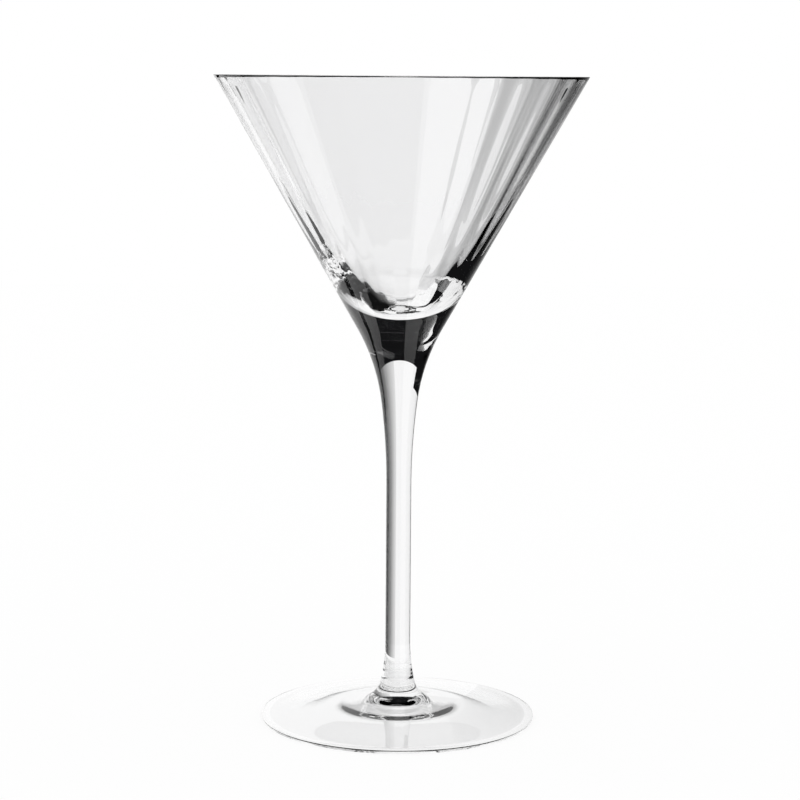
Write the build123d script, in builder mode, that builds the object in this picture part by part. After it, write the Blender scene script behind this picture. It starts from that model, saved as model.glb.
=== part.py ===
"""Martini glass: an optic-ribbed conical bowl, a solid flared stem and a trumpet foot.

Each piece is one gather of glass. They are fused face to face at two flat seams.
Millimetres and degrees, +Z up, origin on the axis at the level that the foot stands on.
"""

import os
from math import atan, cos, degrees, pi, radians, sin, tan

from build123d import *

os.makedirs("parts", exist_ok=True)

# ---- whole glass ----
glass_height = 197.0
rim_radius = 56.5  # outside of the cone at the rim, before the lip is rounded
foot_radius = 42.2

# ---- bowl ----
bowl_height = 76.0  # from its seam with the stem up to the rim
bowl_base_radius = 13.0  # outside of the cone at that seam
wall = 1.8  # measured square to the cone
lip_rounding = 0.5  # how much of the outer corner the fire-polished lip takes off
lip_break = 0.3  # the same for the inner corner, across the ribs
button = 6.1  # solid glass between the seam and the lowest point of the cavity
thick_zone = 50.0  # above the seam, where the wall starts to thicken
thick_pull = 8.0  # how far below that the cavity still keeps to the cone
tip_sweep = 14.5  # radius of the rounded tip of the cavity
tip_turn = 41.0  # how far round that tip goes from its lowest point
tip_pull = 14.0  # how far the cavity then keeps to the slope it has there

# ---- optic ribs, moulded on the inside of the wall ----
rib_count = 30
rib_depth = 0.2  # of the hollow between two ribs, below their crests
rib_trace = 0.2  # share of that depth left at the tip of the cavity
rib_fade = 0.5  # in the thick zone they die out as this power of the way down to the tip
fading_steps = 5  # in which they are lofted there
straight_steps = 2  # in which they are lofted above it, which keeps their facets few

# ---- stem ----
stem_radius = 3.85
flare_turn = 7.5  # slope off the axis where the long flare hands over to the short one
flare_sweep = 200.0  # radius of the long flare
neck_radius = 5.2  # at the seam with the foot
neck_turn = 12.0  # slope off the axis at that seam

# ---- foot ----
trumpet_sweep = 7.4  # radius of the trumpet below the seam
trumpet_turn = 74.0  # slope off the axis where the trumpet hands over to the skirt
skirt_sweep = 60.0
disc_tilt = 6.5  # of the top of the disc, off the level
edge_height = 1.2  # thickness of the disc at its rounded edge
hollow_height = 2.2  # rise of the underside at its centre
hollow_flat = 8.0  # radius of the level middle of the underside
ring_width = 2.4  # flat ring that the glass stands on

# ---- shared ----
corner_steps = 2  # flats that stand for a small rounded corner, to keep the solids light
sweep_steps = 3  # the same for the hollow of a rib and for the skirt of the foot

# ---- worked out ----
seam_height = glass_height - bowl_height
cone_slope = (rim_radius - bowl_base_radius) / bowl_height
cone_turn = degrees(atan(cone_slope))
wall_across = wall / cos(radians(cone_turn))  # the same wall measured level


def arc_run(sweep, start_turn, end_turn):
    """How far an arc spreads from the axis, and how much height it takes, between two slopes."""
    low, high = radians(start_turn), radians(end_turn)
    return sweep * (cos(low) - cos(high)), sweep * (sin(high) - sin(low))


def slope(turn):
    """Direction down and outwards, at an angle off the axis."""
    return Vector(sin(radians(turn)), -cos(radians(turn)))


def flats(curve, steps):
    """Points along a curve, where the flats that stand for it meet."""
    return [curve @ (step / steps) for step in range(steps + 1)]


def rounded_corner(before, corner, after):
    """Points of a small rounded corner."""
    return flats(Bezier(before, corner, after, mode=Mode.PRIVATE), corner_steps)


def cavity_radius(height):
    """Radius of the straight part of the cavity, to the crests of the ribs."""
    return bowl_base_radius + cone_slope * (height - seam_height) - wall_across


def ribbed_section(radius, height, depth):
    """Level section of the cavity: one shallow hollow after another, with a crest between."""
    half_step = pi / rib_count
    with BuildSketch(Plane.XY.offset(height)) as section:
        with BuildLine():
            for rib in range(rib_count):
                middle = 2 * half_step * rib
                ends = [middle - half_step, middle + half_step]
                start, end = [(radius * cos(turn), radius * sin(turn)) for turn in ends]
                deepest = ((radius + depth) * cos(middle), (radius + depth) * sin(middle))
                hollow = ThreePointArc(start, deepest, end, mode=Mode.PRIVATE)
                Polyline(*flats(hollow, sweep_steps))
        make_face()
    return section.sketch


# The bowl is a plain cone outside. Its cavity follows the cone, then narrows faster to leave
# a thick wall and a solid button over the stem, and ends in a rounded tip.
turn_height = seam_height + thick_zone
cavity_floor = seam_height + button
tip_line = CenterArc((0, cavity_floor + tip_sweep), tip_sweep, -90, tip_turn)
thick_line = Bezier(
    tip_line @ 1,
    tip_line @ 1 + (tip_line % 1) * tip_pull,
    (cavity_radius(turn_height - thick_pull), turn_height - thick_pull),
    (cavity_radius(turn_height), turn_height),
)

lip = rounded_corner(
    (rim_radius - cone_slope * lip_rounding, glass_height - lip_rounding),
    (rim_radius, glass_height),
    (rim_radius - lip_rounding, glass_height),
)

with BuildPart() as bowl:
    with BuildSketch(Plane.XZ):
        with BuildLine():
            Polyline(
                (0, glass_height),
                (0, seam_height),
                (bowl_base_radius, seam_height),
                *lip,
                close=True,
            )
        make_face()
    revolve(axis=Axis.Z)

    straight = []
    for step in range(straight_steps + 1):
        height = turn_height + (glass_height - turn_height) * step / straight_steps
        straight.append(ribbed_section(cavity_radius(height), height, rib_depth))
    loft(straight, ruled=True, mode=Mode.SUBTRACT)
    lip_face = bowl.faces().sort_by(Axis.Z)[-1]
    chamfer(lip_face.inner_wires().edges(), length=lip_break)

    fading = []
    for step in range(fading_steps + 1):
        share = step / fading_steps
        place = thick_line @ share
        left = rib_trace + (1 - rib_trace) * share**rib_fade
        fading.append(ribbed_section(place.X, place.Y, rib_depth * left))
    loft(fading, ruled=True, mode=Mode.SUBTRACT)

    with BuildSketch(Plane.XZ):
        with BuildLine():
            add(tip_line)
            Polyline(tip_line @ 1, (0, turn_height), (0, cavity_floor))
        make_face()
    revolve(axis=Axis.Z, mode=Mode.SUBTRACT)
bowl.part.label = "bowl"

# The stem is solid. It leaves the cone of the bowl smoothly by a short and then a long flare,
# runs straight, and swells again to its seam with the foot.
long_spread, long_rise = arc_run(flare_sweep, 0, flare_turn)
short_spread, short_rise = arc_run(1, flare_turn, cone_turn)
short_sweep = (bowl_base_radius - stem_radius - long_spread) / short_spread
flare_end = seam_height - long_rise - short_rise * short_sweep

neck_spread, neck_rise = arc_run(1, 0, neck_turn)
neck_sweep = (neck_radius - stem_radius) / neck_spread

trumpet_spread, trumpet_drop = arc_run(trumpet_sweep, neck_turn, trumpet_turn)
skirt_spread, skirt_drop = arc_run(skirt_sweep, trumpet_turn, 90 - disc_tilt)
disc_start = neck_radius + trumpet_spread + skirt_spread
disc_height = edge_height + (foot_radius - disc_start) * tan(radians(disc_tilt))
neck_height = disc_height + skirt_drop + trumpet_drop

shank_start = neck_height + neck_rise * neck_sweep

with BuildPart() as stem:
    with BuildSketch(Plane.XZ):
        with BuildLine():
            shank = Line((stem_radius, shank_start), (stem_radius, flare_end))
            long_flare = JernArc(shank @ 1, (0, 1), flare_sweep, -flare_turn)
            short_flare = JernArc(
                long_flare @ 1, long_flare % 1, short_sweep, flare_turn - cone_turn
            )
            neck = JernArc(shank @ 0, slope(0), neck_sweep, neck_turn)
            Polyline(neck @ 1, (0, neck_height), (0, seam_height), short_flare @ 1)
        make_face()
    revolve(axis=Axis.Z)
stem.part.label = "stem"

# The foot runs out from the stem as a trumpet, a skirt and a thin disc. Its underside is
# hollow, so that it stands on a narrow flat ring at its edge.
edge_rounding = edge_height / 2
ring_inner = foot_radius - edge_rounding - ring_width
edge_fall = edge_rounding * tan(radians(disc_tilt))
skirt_start = (neck_radius + trumpet_spread, neck_height - trumpet_drop)
trumpet_pull = 4 / 3 * tan(radians(trumpet_turn - neck_turn) / 4) * trumpet_sweep
with BuildPart() as foot:
    with BuildSketch(Plane.XZ):
        with BuildLine():
            trumpet = Bezier(
                (neck_radius, neck_height),
                Vector(neck_radius, neck_height) + slope(neck_turn) * trumpet_pull,
                Vector(skirt_start) - slope(trumpet_turn) * trumpet_pull,
                skirt_start,
            )
            skirt = JernArc(
                skirt_start,
                slope(trumpet_turn),
                skirt_sweep,
                90 - disc_tilt - trumpet_turn,
                mode=Mode.PRIVATE,
            )
            Polyline(
                *flats(skirt, sweep_steps),
                *rounded_corner(
                    (foot_radius - edge_rounding, edge_height + edge_fall),
                    (foot_radius, edge_height),
                    (foot_radius, edge_height - edge_rounding),
                ),
                *rounded_corner(
                    (foot_radius, edge_rounding),
                    (foot_radius, 0),
                    (foot_radius - edge_rounding, 0),
                )[1:],
                (ring_inner, 0),
                (hollow_flat, hollow_height),
                (0, hollow_height),
                (0, neck_height),
                (neck_radius, neck_height),
            )
        make_face()
    revolve(axis=Axis.Z)
foot.part.label = "foot"

for piece in (bowl, stem, foot):
    export_step(piece.part, f"parts/{piece.part.label}.step")
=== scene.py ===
import math

import bmesh
import bpy
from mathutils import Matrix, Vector
from mathutils.geometry import interpolate_bezier


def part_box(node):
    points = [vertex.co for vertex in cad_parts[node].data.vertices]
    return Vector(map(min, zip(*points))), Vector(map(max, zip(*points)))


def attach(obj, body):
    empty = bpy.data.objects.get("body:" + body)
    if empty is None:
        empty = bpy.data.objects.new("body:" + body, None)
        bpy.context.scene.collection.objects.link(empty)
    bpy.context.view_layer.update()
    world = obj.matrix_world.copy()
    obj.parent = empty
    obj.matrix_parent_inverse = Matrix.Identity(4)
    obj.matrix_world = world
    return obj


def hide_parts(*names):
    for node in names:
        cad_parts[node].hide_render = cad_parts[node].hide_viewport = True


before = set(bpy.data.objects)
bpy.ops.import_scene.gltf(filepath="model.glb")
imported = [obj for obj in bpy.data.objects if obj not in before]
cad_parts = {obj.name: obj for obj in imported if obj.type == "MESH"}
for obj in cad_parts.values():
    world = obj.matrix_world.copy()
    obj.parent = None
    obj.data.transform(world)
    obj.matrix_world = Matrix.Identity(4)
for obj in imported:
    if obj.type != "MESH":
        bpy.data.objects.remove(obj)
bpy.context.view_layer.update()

mm = 0.001
scene = bpy.context.scene
scene.view_settings.view_transform = "Standard"

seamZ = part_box("bowl")[0].z / mm  # where the bowl is fused to the stem
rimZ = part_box("bowl")[1].z / mm
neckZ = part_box("foot")[1].z / mm  # where the stem is fused to the foot


print("Camera")

viewSet = {
    "place": (0.00018, -0.7019, 0.198),
    "pitchDown": 8.03,
    "roll": 0.4,
    "lens": 104.5,
    "sensor": 36,
    "nearest": 0.01,
}


def makeCamera():
    data = bpy.data.cameras.new("frontView")
    data.lens = viewSet["lens"]
    data.sensor_width = viewSet["sensor"]
    data.clip_start = viewSet["nearest"]
    camera = bpy.data.objects.new("frontView", data)
    camera.location = viewSet["place"]
    camera.rotation_euler = (math.radians(90 - viewSet["pitchDown"]), 0, 0)
    camera.rotation_euler.rotate_axis("Z", math.radians(viewSet["roll"]))
    scene.collection.objects.link(camera)
    scene.camera = camera


makeCamera()


# Outlines are in millimetres; x is the distance from the axis.
meshSet = {
    "firstStep": 0.01,  # of an outline off a seam
    "weld": 0.002,  # points nearer than this become one
    "seamFit": 0.01,  # how near the height of a seam its flat face lies
    "cornerPull": 0.6,  # how far the curve of a corner is drawn towards it
    "cornerSteps": 8,
}


def arcRun(start, heading, radius, turn, steps):
    # an arc that leaves start along heading and turns by turn degrees, plus to the left
    side = Vector((-heading.y, heading.x)) * math.copysign(1, turn)
    centre = start + side * radius
    run = []
    for step in range(steps + 1):
        angle = math.radians(turn) * step / steps
        arm = start - centre
        run.append(
            centre
            + Vector(
                (
                    arm.x * math.cos(angle) - arm.y * math.sin(angle),
                    arm.x * math.sin(angle) + arm.y * math.cos(angle),
                )
            )
        )
    return run


def straightRun(start, end, steps):
    return [start.lerp(end, step / steps) for step in range(steps + 1)]


def curveRun(start, startPull, endPull, end, steps):
    return list(interpolate_bezier(start, startPull, endPull, end, steps + 1))


def seamStep(point, heading):
    # a very short first step along heading, which keeps the shading smooth right up to a seam
    return point + heading * meshSet["firstStep"]


def cornerRun(corner, before, after, size):
    # rounds a corner whose sides run off it along before and after
    start, end = corner + before * size, corner + after * size
    pull = meshSet["cornerPull"]
    pulls = start.lerp(corner, pull), end.lerp(corner, pull)
    return curveRun(start, *pulls, end, meshSet["cornerSteps"])


def downward(turn):
    # direction down and outwards, at an angle off the axis
    return Vector((math.sin(math.radians(turn)), -math.cos(math.radians(turn))))


def spunGlass(name, outline, ribShare, steps):
    # turns an outline into a closed body and presses the optic ribs into its cavity
    bm = bmesh.new()
    ribLayer = bm.verts.layers.float.new("ribShare")
    rings = []
    for point, share in zip(outline, ribShare):
        vert = bm.verts.new((max(point.x, 0) * mm, 0, point.y * mm))
        vert[ribLayer] = share
        rings.append(vert)
    edges = [bm.edges.new(pair) for pair in zip(rings, rings[1:])]
    bmesh.ops.spin(
        bm,
        geom=rings + edges,
        cent=(0, 0, 0),
        axis=(0, 0, 1),
        dvec=(0, 0, 0),
        angle=math.radians(360),
        steps=steps,
        use_merge=True,
        use_duplicate=False,
    )
    bmesh.ops.remove_doubles(bm, verts=bm.verts, dist=meshSet["weld"] * mm)
    for vert in bm.verts:
        share = vert[ribLayer]
        if share:
            angle = math.atan2(vert.co.y, vert.co.x)
            depth = ribSet["depth"] * mm * share * ribWave(angle)
            out = Vector((vert.co.x, vert.co.y, 0)).normalized()
            vert.co += out * depth
    bmesh.ops.recalc_face_normals(bm, faces=bm.faces)
    for face in bm.faces:
        face.smooth = True
    mesh = bpy.data.meshes.new(name)
    bm.to_mesh(mesh)
    bm.free()
    piece = bpy.data.objects.new(name, mesh)
    scene.collection.objects.link(piece)
    return piece


def ribWave(angle):
    # 1 in the middle of a hollow, 0 on a crest
    return 0.5 + 0.5 * math.cos(ribSet["count"] * angle)


def fusedFaces(piece, height, material):
    # the flat face at a fused seam lets light straight through
    piece.data.materials.append(material)
    for face in piece.data.polygons:
        gap = abs(face.center.z - height * mm)
        if abs(face.normal.z) > 0.999 and gap < meshSet["seamFit"] * mm:
            face.use_smooth = False
            face.material_index = 1


print("Glass")

glassSet = {
    "ior": 1.51,
    "roughest": 0.02,
    "detail": 2,  # of the waviness
    "tint": (1, 1, 1, 1),
    "tintDark": (0.99, 0.99, 0.995, 1),
}


def clearGlass(name, streaks, ripple):
    material = bpy.data.materials.new(name)
    material.use_nodes = True
    tree = material.node_tree
    shader = tree.nodes["Principled BSDF"]
    shader.inputs["Transmission Weight"].default_value = 1
    shader.inputs["IOR"].default_value = glassSet["ior"]
    place = tree.nodes.new("ShaderNodeTexCoord")
    stretch = tree.nodes.new("ShaderNodeMapping")
    stretch.inputs["Scale"].default_value = streaks
    tree.links.new(place.outputs["Object"], stretch.inputs["Vector"])
    waves = tree.nodes.new("ShaderNodeTexNoise")
    waves.inputs["Scale"].default_value = 1
    waves.inputs["Detail"].default_value = glassSet["detail"]
    tree.links.new(stretch.outputs["Vector"], waves.inputs["Vector"])
    tint = tree.nodes.new("ShaderNodeMix")
    tint.data_type = "RGBA"
    tint.inputs["A"].default_value = glassSet["tintDark"]
    tint.inputs["B"].default_value = glassSet["tint"]
    tree.links.new(waves.outputs["Fac"], tint.inputs["Factor"])
    tree.links.new(tint.outputs["Result"], shader.inputs["Base Color"])
    polish = tree.nodes.new("ShaderNodeMapRange")
    polish.inputs["To Max"].default_value = glassSet["roughest"]
    tree.links.new(waves.outputs["Fac"], polish.inputs["Value"])
    tree.links.new(polish.outputs["Result"], shader.inputs["Roughness"])
    bump = tree.nodes.new("ShaderNodeBump")
    bump.inputs["Strength"].default_value = 1
    bump.inputs["Distance"].default_value = ripple
    tree.links.new(waves.outputs["Fac"], bump.inputs["Height"])
    tree.links.new(bump.outputs["Normal"], shader.inputs["Normal"])
    return material


def fusedSeam():
    material = bpy.data.materials.new("fusedSeam")
    material.use_nodes = True
    tree = material.node_tree
    tree.nodes.remove(tree.nodes["Principled BSDF"])
    clear = tree.nodes.new("ShaderNodeBsdfTransparent")
    tree.links.new(clear.outputs["BSDF"], tree.nodes["Material Output"].inputs["Surface"])
    return material


seamMaterial = fusedSeam()


print("Bowl")

bowlSet = {
    "rimRadius": 56.3,  # outside of the cone, if it ran up to the rim's height
    "baseRadius": 13.0,
    "wall": 1.8,
    "lipCorner": 0.22,  # rounding of the two corners of the flat rim
    "tipHeight": 6.1,  # solid glass between the seam and the cavity
    "tipRadius": 14.5,
    "tipTurn": 41,
    "tipPull": 14,
    "thickZone": 50,  # above the seam, where the wall starts to thicken
    "thickPull": 20,
    "steps": 480,  # round the axis
    "streaks": (60, 60, 12),  # of the waviness, per metre
    "ripple": 0.00002,
}
ribSet = {
    "count": 30,
    "depth": 0.21,
    "fade": 2,  # power by which they die out towards the tip
    "trace": 0.1,  # share of the depth left at the tip
}


def coneSlope():
    # of the outside of the bowl, as a ratio and in degrees off the axis
    slope = (bowlSet["rimRadius"] - bowlSet["baseRadius"]) / (rimZ - seamZ)
    return slope, math.degrees(math.atan(slope))


def bowlOutline():
    slope, coneTurn = coneSlope()
    up = Vector((math.sin(math.radians(coneTurn)), math.cos(math.radians(coneTurn))))
    corner = bowlSet["lipCorner"]

    def outside(height):
        return Vector((bowlSet["baseRadius"] + slope * (height - seamZ), height))

    across = Vector((bowlSet["wall"] / math.cos(math.radians(coneTurn)), 0))
    tipCentre = Vector((0, seamZ + bowlSet["tipHeight"] + bowlSet["tipRadius"]))
    tip = arcRun(
        tipCentre - Vector((0, bowlSet["tipRadius"])),
        Vector((1, 0)),
        bowlSet["tipRadius"],
        bowlSet["tipTurn"],
        14,
    )
    turnHeight = seamZ + bowlSet["thickZone"]
    heading = Vector(
        (math.cos(math.radians(bowlSet["tipTurn"])), math.sin(math.radians(bowlSet["tipTurn"])))
    )
    thick = curveRun(
        tip[-1],
        tip[-1] + heading * bowlSet["tipPull"],
        outside(turnHeight - bowlSet["thickPull"]) - across,
        outside(turnHeight) - across,
        40,
    )
    inner = cornerRun(outside(rimZ) - across, -up, Vector((1, 0)), corner)
    outerCorner = cornerRun(outside(rimZ), Vector((-1, 0)), -up, corner)
    wall = straightRun(thick[-1], inner[0], 14)
    rim = inner + straightRun(inner[-1], outerCorner[0], 3)[1:] + outerCorner[1:]
    outer = straightRun(rim[-1], outside(seamZ), 24)
    outer.insert(-1, seamStep(outer[-1], up))
    base = straightRun(outer[-1], Vector((0, seamZ)), 1)
    points = tip + thick[1:] + wall[1:] + rim[1:] + outer[1:] + base[1:]
    trace = ribSet["trace"]
    shares = [trace * index / len(tip) for index in range(len(tip))]
    for index in range(1, len(thick)):
        shares.append(trace + (1 - trace) * (index / (len(thick) - 1)) ** ribSet["fade"])
    shares += [1] * (len(wall) - 1)
    for index in range(1, len(rim)):
        shares.append(0.5 + 0.5 * math.cos(math.pi * (index / (len(rim) - 1))))
    shares += [0] * (len(points) - len(shares))
    return points, shares


points, shares = bowlOutline()
glassBowl = spunGlass("glassBowl", points, shares, bowlSet["steps"])
glassBowl.data.materials.append(clearGlass("bowlGlass", bowlSet["streaks"], bowlSet["ripple"]))
fusedFaces(glassBowl, seamZ, seamMaterial)


print("Stem")

stemSet = {
    "radius": 3.85,
    "flareTurn": 7.5,
    "flareRadius": 200.0,
    "neckRadius": 5.2,
    "neckTurn": 12.0,
    "steps": 180,
    "streaks": (80, 80, 10),
    "ripple": 0.00001,
}


def stemOutline():
    coneTurn = coneSlope()[1]
    turns = [math.radians(turn) for turn in (stemSet["flareTurn"], coneTurn, stemSet["neckTurn"])]
    longSpread = stemSet["flareRadius"] * (1 - math.cos(turns[0]))
    longRise = stemSet["flareRadius"] * math.sin(turns[0])
    shortRadius = (bowlSet["baseRadius"] - stemSet["radius"] - longSpread) / (
        math.cos(turns[0]) - math.cos(turns[1])
    )
    shortRise = shortRadius * (math.sin(turns[1]) - math.sin(turns[0]))
    neckSweep = (stemSet["neckRadius"] - stemSet["radius"]) / (1 - math.cos(turns[2]))
    shankTop = Vector((stemSet["radius"], seamZ - longRise - shortRise))
    shankFoot = Vector((stemSet["radius"], neckZ + neckSweep * math.sin(turns[2])))
    down = Vector((0, -1))
    top = Vector((bowlSet["baseRadius"], seamZ))
    inward = Vector((-math.sin(turns[1]), -math.cos(turns[1])))
    short = arcRun(top, inward, shortRadius, coneTurn - stemSet["flareTurn"], 60)
    long = arcRun(
        short[-1],
        Vector((-math.sin(turns[0]), -math.cos(turns[0]))),
        stemSet["flareRadius"],
        stemSet["flareTurn"],
        32,
    )
    shank = straightRun(shankTop, shankFoot, 10)
    neck = arcRun(shankFoot, down, neckSweep, stemSet["neckTurn"], 16)
    points = (
        [Vector((0, seamZ)), top, seamStep(top, inward)]
        + short[1:]
        + long[1:]
        + shank[1:]
        + neck[1:-1]
        + [seamStep(neck[-1], -downward(stemSet["neckTurn"])), neck[-1]]
        + [Vector((0, neckZ))]
    )
    return points, [0] * len(points)


points, shares = stemOutline()
glassStem = spunGlass("glassStem", points, shares, stemSet["steps"])
glassStem.data.materials.append(clearGlass("stemGlass", stemSet["streaks"], stemSet["ripple"]))
fusedFaces(glassStem, seamZ, seamMaterial)
fusedFaces(glassStem, neckZ, seamMaterial)


print("Foot")

footSet = {
    "radius": 42.2,
    "trumpetSweep": 7.4,
    "trumpetTurn": 74,
    "skirtSweep": 60,
    "discTilt": 6.5,
    "edgeHeight": 0.8,
    "kickRadius": 17.3,  # of the step in the hollow
    "kickHeight": 3.0,
    "kickOuter": 5,
    "kickInner": 4.5,
    "hollowPull": (-8, 1.0),
    "topPull": 5,
    "hollowHeight": 5.2,
    "ringWidth": 2.4,
    "steps": 240,
    "streaks": (160, 40, 90),
    "ripple": 0.00004,
}


def footOutline():
    edge = footSet["edgeHeight"] / 2
    trumpet = arcRun(
        Vector((stemSet["neckRadius"], neckZ)),
        downward(stemSet["neckTurn"]),
        footSet["trumpetSweep"],
        footSet["trumpetTurn"] - stemSet["neckTurn"],
        48,
    )
    skirt = arcRun(
        trumpet[-1],
        downward(footSet["trumpetTurn"]),
        footSet["skirtSweep"],
        90 - footSet["discTilt"] - footSet["trumpetTurn"],
        16,
    )
    top = Vector((footSet["radius"] - edge, skirt[-1].y))
    top.y -= (top.x - skirt[-1].x) * math.tan(math.radians(footSet["discTilt"]))
    disc = straightRun(skirt[-1], top, 12)
    tilt = footSet["discTilt"]
    rounding = arcRun(disc[-1], downward(90 - tilt), edge, -(180 - tilt), 14)
    ringInner = Vector((footSet["radius"] - edge - footSet["ringWidth"], 0))
    ring = straightRun(Vector((rounding[-1].x, 0)), ringInner, 2)
    kick = Vector((footSet["kickRadius"], footSet["kickHeight"]))
    level = Vector((1, 0))
    hollow = curveRun(
        ringInner,
        ringInner + Vector(footSet["hollowPull"]),
        kick + level * footSet["kickOuter"],
        kick,
        24,
    )
    hollow += curveRun(
        kick,
        kick - level * footSet["kickInner"],
        Vector((footSet["topPull"], footSet["hollowHeight"])),
        Vector((0, footSet["hollowHeight"])),
        30,
    )[1:]
    points = (
        [Vector((0, neckZ)), trumpet[0], seamStep(trumpet[0], downward(stemSet["neckTurn"]))]
        + trumpet[1:]
        + skirt[1:]
        + disc[1:]
        + rounding[1:-1]
        + ring
        + hollow[1:]
    )
    return points, [0] * len(points)


points, shares = footOutline()
glassFoot = spunGlass("glassFoot", points, shares, footSet["steps"])
glassFoot.data.materials.append(clearGlass("footGlass", footSet["streaks"], footSet["ripple"]))
fusedFaces(glassFoot, neckZ, seamMaterial)

for piece, node in ((glassBowl, "bowl"), (glassStem, "stem"), (glassFoot, "foot")):
    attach(piece, "root")
    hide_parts(node)


print("Studio")


def makeWorld():
    # a plain white surround, which every kind of ray sees
    world = bpy.data.worlds.new("studio")
    scene.world = world
    world.use_nodes = True
    background = world.node_tree.nodes["Background"]
    background.inputs["Color"].default_value = (1, 1, 1, 1)
    background.inputs["Strength"].default_value = 1


tentSet = {
    "radius": 0.3,
    "height": 0.42,
    "header": 0.2,  # height of the openings and of the cloth with the painted grey glow
    "step": 1,  # degrees
    "rows": 42,
    # the faint cool glow of the black cloth, painted light
    "glowTone": 0.006,
    "coolness": 1.1,  # of the blue in that painted glow
    "skirt": 0.05,  # radius inside which the table is bare
    "lift": 0.0003,  # of the skirt off the table
    "weld": 0.00001,
    # openings, round from the back to the right: from, to and height
    "openings": ((-30, 8, 0.2), (-64, -30, 0.14), (-106, -74, 0.27), (110, 160, 0.2)),
    # painted glow of the cloth, round from the back to the right: light the cloth gives out, not
    # its colour
    "clothGlow": ((-180, 0.006), (5, 0.9), (13, 0.67), (21, 0.46), (30, 0.17), (40, 0.04), (46, 0.006)),
}


def openAt(around, height):
    return any(
        first <= around < last and height < top for first, last, top in tentSet["openings"]
    )


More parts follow.
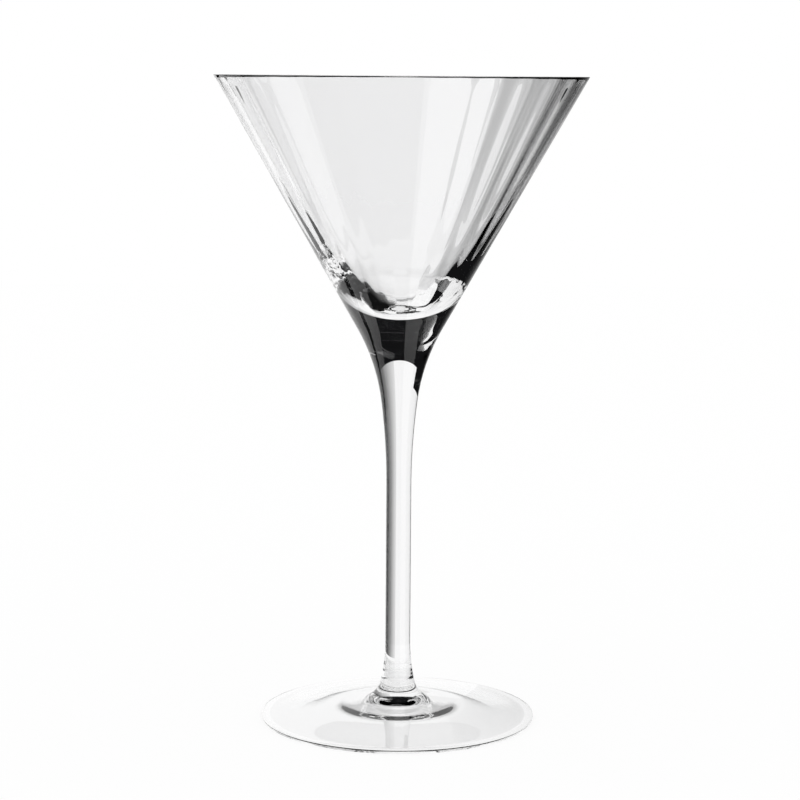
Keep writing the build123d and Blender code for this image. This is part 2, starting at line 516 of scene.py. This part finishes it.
def makeTent():
    # a black tent for showing glass, with a lid over it and a skirt on the table
    def spot(around, height):
        turn = math.radians(around)
        return (tentSet["radius"] * math.sin(turn), tentSet["radius"] * math.cos(turn), height)

    bm = bmesh.new()
    step = tentSet["step"]
    rise = tentSet["height"] / tentSet["rows"]
    for around in range(-180, 180, step):
        for row in range(tentSet["rows"]):
            low = row * rise
            if openAt(around, low):
                continue
            lower = [(around, low), (around + step, low)]
            upper = [(around + step, low + rise), (around, low + rise)]
            bm.faces.new([bm.verts.new(spot(*corner)) for corner in lower + upper])
        top = tentSet["height"]
        lid = [spot(around, top), spot(around + step, top), (0, 0, top)]
        bm.faces.new([bm.verts.new(corner) for corner in lid])
        if openAt(around, 0):
            continue
        inner = tentSet["skirt"] / tentSet["radius"]
        outer = [Vector(spot(around + turn, 0)) for turn in (0, step)]
        skirt = [outer[0] * inner, outer[1] * inner, outer[1], outer[0]]
        bm.faces.new([bm.verts.new(corner + Vector((0, 0, tentSet["lift"]))) for corner in skirt])
    bmesh.ops.remove_doubles(bm, verts=bm.verts, dist=tentSet["weld"])
    mesh = bpy.data.meshes.new("blackTent")
    bm.to_mesh(mesh)
    bm.free()
    tent = bpy.data.objects.new("blackTent", mesh)
    scene.collection.objects.link(tent)
    tent.visible_camera = False
    tent.visible_diffuse = False
    tent.visible_shadow = False
    material = bpy.data.materials.new("tentCloth")
    material.use_nodes = True
    tree = material.node_tree
    tree.nodes.remove(tree.nodes["Principled BSDF"])
    place = tree.nodes.new("ShaderNodeTexCoord")
    split = tree.nodes.new("ShaderNodeSeparateXYZ")
    tree.links.new(place.outputs["Object"], split.inputs["Vector"])
    azimuth = tree.nodes.new("ShaderNodeMath")
    azimuth.operation = "ARCTAN2"
    tree.links.new(split.outputs["X"], azimuth.inputs[0])
    tree.links.new(split.outputs["Y"], azimuth.inputs[1])
    around = tree.nodes.new("ShaderNodeMapRange")
    around.inputs["From Min"].default_value = -math.pi
    around.inputs["From Max"].default_value = math.pi
    tree.links.new(azimuth.outputs[0], around.inputs["Value"])
    # painted light: the run of greys that the cloth glows with, by direction round the axis
    clothGlow = tree.nodes.new("ShaderNodeValToRGB")
    stops = clothGlow.color_ramp.elements
    stops.remove(stops[1])
    for number, (direction, glowTone) in enumerate(tentSet["clothGlow"]):
        share = (direction + 180) / 360
        stop = stops[0] if number == 0 else stops.new(share)
        stop.position = share
        stop.color = (glowTone, glowTone, glowTone, 1)
    tree.links.new(around.outputs["Result"], clothGlow.inputs["Fac"])
    # painted light: only the cloth below the header and on the right side glows in the grey run,
    # elsewhere it glows faintly in the dark tone
    low = tree.nodes.new("ShaderNodeMath")
    low.operation = "LESS_THAN"
    low.inputs[1].default_value = tentSet["header"]
    tree.links.new(split.outputs["Z"], low.inputs[0])
    right = tree.nodes.new("ShaderNodeMath")
    right.operation = "GREATER_THAN"
    right.inputs[1].default_value = 0
    tree.links.new(split.outputs["X"], right.inputs[0])
    lit = tree.nodes.new("ShaderNodeMath")
    lit.operation = "MULTIPLY"
    tree.links.new(low.outputs[0], lit.inputs[0])
    tree.links.new(right.outputs[0], lit.inputs[1])
    shade = tree.nodes.new("ShaderNodeMix")
    shade.data_type = "RGBA"
    # painted light: the faint cool glow of the black cloth, mixed with the painted grey run
    glowTone = tentSet["glowTone"]
    shade.inputs["A"].default_value = (glowTone, glowTone, glowTone * tentSet["coolness"], 1)
    tree.links.new(lit.outputs[0], shade.inputs["Factor"])
    tree.links.new(clothGlow.outputs["Color"], shade.inputs["B"])
    # the cloth gives out its own light, so all its greys are painted glow rather than cloth colour
    glow = tree.nodes.new("ShaderNodeEmission")
    tree.links.new(shade.outputs["Result"], glow.inputs["Color"])
    tree.links.new(glow.outputs[0], tree.nodes["Material Output"].inputs["Surface"])
    tent.data.materials.append(material)


floorSet = {
    "radius": 1.5,
    "sides": 96,
    "colour": (0.98, 0.98, 0.98, 1),
    "matt": 0.12,  # share of the floor that shows shadow
}


def makeFloor():
    bm = bmesh.new()
    bmesh.ops.create_circle(
        bm, cap_ends=True, radius=floorSet["radius"], segments=floorSet["sides"]
    )
    mesh = bpy.data.meshes.new("paleFloor")
    bm.to_mesh(mesh)
    bm.free()
    floor = bpy.data.objects.new("paleFloor", mesh)
    scene.collection.objects.link(floor)
    material = bpy.data.materials.new("paleTable")
    material.use_nodes = True
    tree = material.node_tree
    tree.nodes.remove(tree.nodes["Principled BSDF"])
    glow = tree.nodes.new("ShaderNodeEmission")
    glow.inputs["Strength"].default_value = 1
    matt = tree.nodes.new("ShaderNodeBsdfDiffuse")
    matt.inputs["Color"].default_value = floorSet["colour"]
    blend = tree.nodes.new("ShaderNodeMixShader")
    blend.inputs["Fac"].default_value = floorSet["matt"]
    tree.links.new(glow.outputs[0], blend.inputs[1])
    tree.links.new(matt.outputs[0], blend.inputs[2])
    tree.links.new(blend.outputs[0], tree.nodes["Material Output"].inputs["Surface"])
    floor.data.materials.append(material)


makeWorld()
makeFloor()
makeTent()


bounceSet = {"through": 24, "mirrored": 12}
scene.cycles.max_bounces = bounceSet["through"]
scene.cycles.transmission_bounces = bounceSet["through"]
scene.cycles.glossy_bounces = bounceSet["mirrored"]
scene.cycles.transparent_max_bounces = bounceSet["through"]
